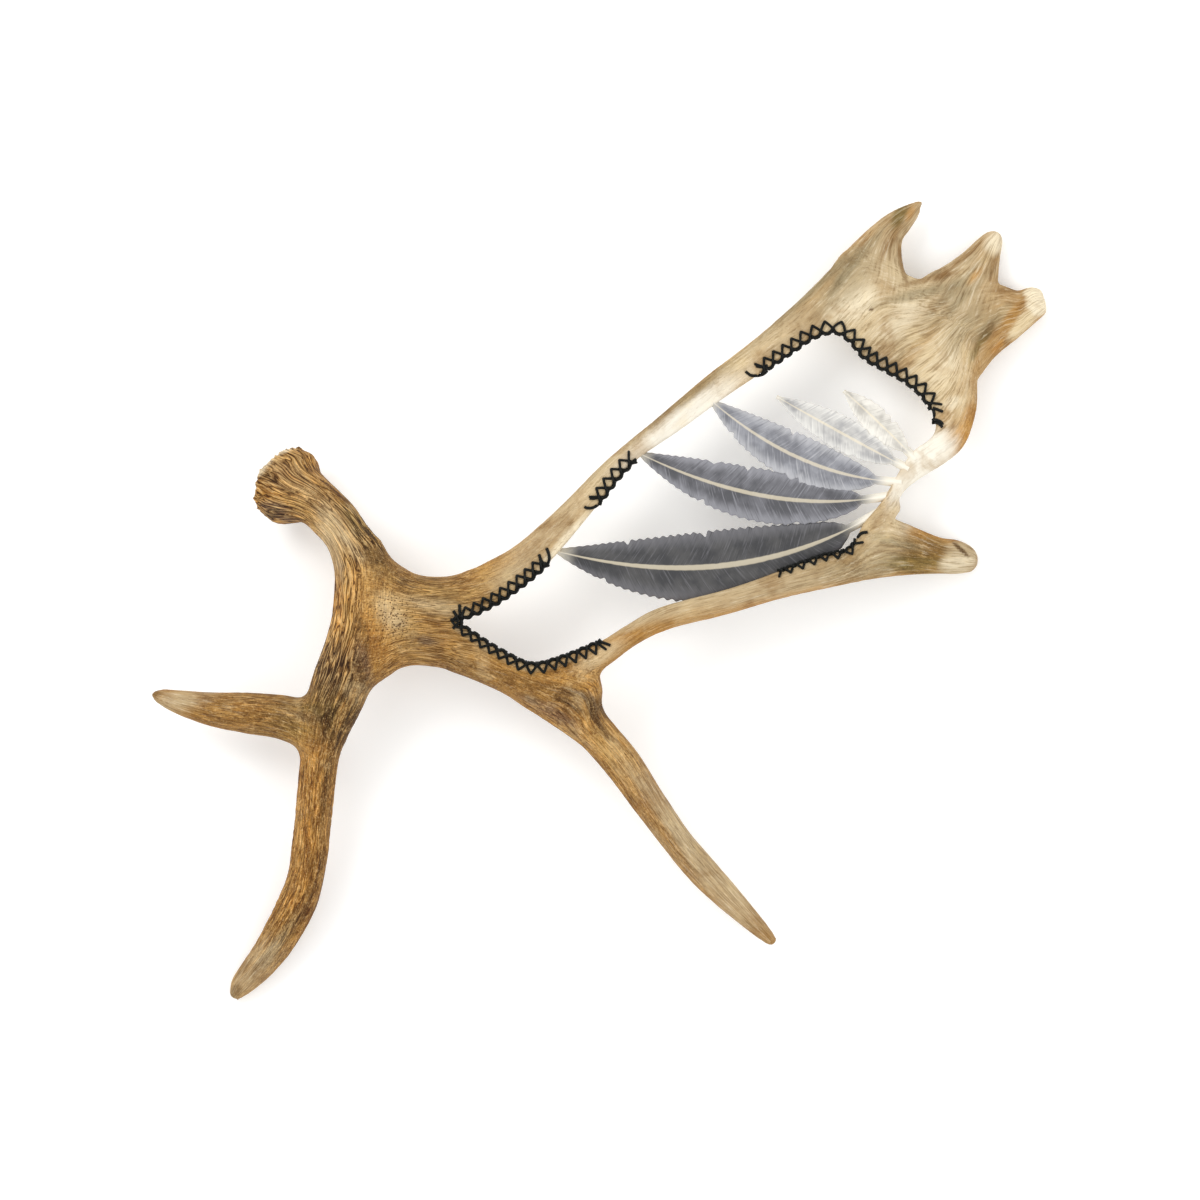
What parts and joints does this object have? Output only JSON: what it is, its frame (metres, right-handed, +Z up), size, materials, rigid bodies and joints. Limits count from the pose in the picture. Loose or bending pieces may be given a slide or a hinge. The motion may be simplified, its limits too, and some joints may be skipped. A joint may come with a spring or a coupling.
{
  "type": "carved moose antler",
  "caption": "Shed moose antler lying face up, its palm cut out and carved as a fan of painted feathers, with black lace sewn round the cut-out.",
  "frame": {"origin": "on the surface that the antler rests on, under the middle of its bounding box", "axes": "+Z up, out of the carved face; +X from the burr towards the points on the palm's far edge; +Y away from the trailing tine"},
  "size_m": [0.7588, 0.679, 0.0897],
  "materials": {
    "antler": "weathered shed antler, ridged and grooved along the grain, golden brown on the beam and tines, pale tan on the palm, chalky white at worn ends",
    "painted_antler": "carved antler under matt paint in charcoal, cool grey and off-white, fading to bare ivory where it meets the frame",
    "lacing": "black waxed lace, matt"
  },
  "bodies": {
    "root": {"beam": "antler", "palm": "antler", "brow_branch": "antler", "front_tine": "antler", "lower_tine": "antler", "trailing_tine": "antler", "lacing_left": "lacing", "lacing_upper": "lacing", "lacing_top": "lacing", "lacing_lower": "lacing"}
  },
  "joints": []
}
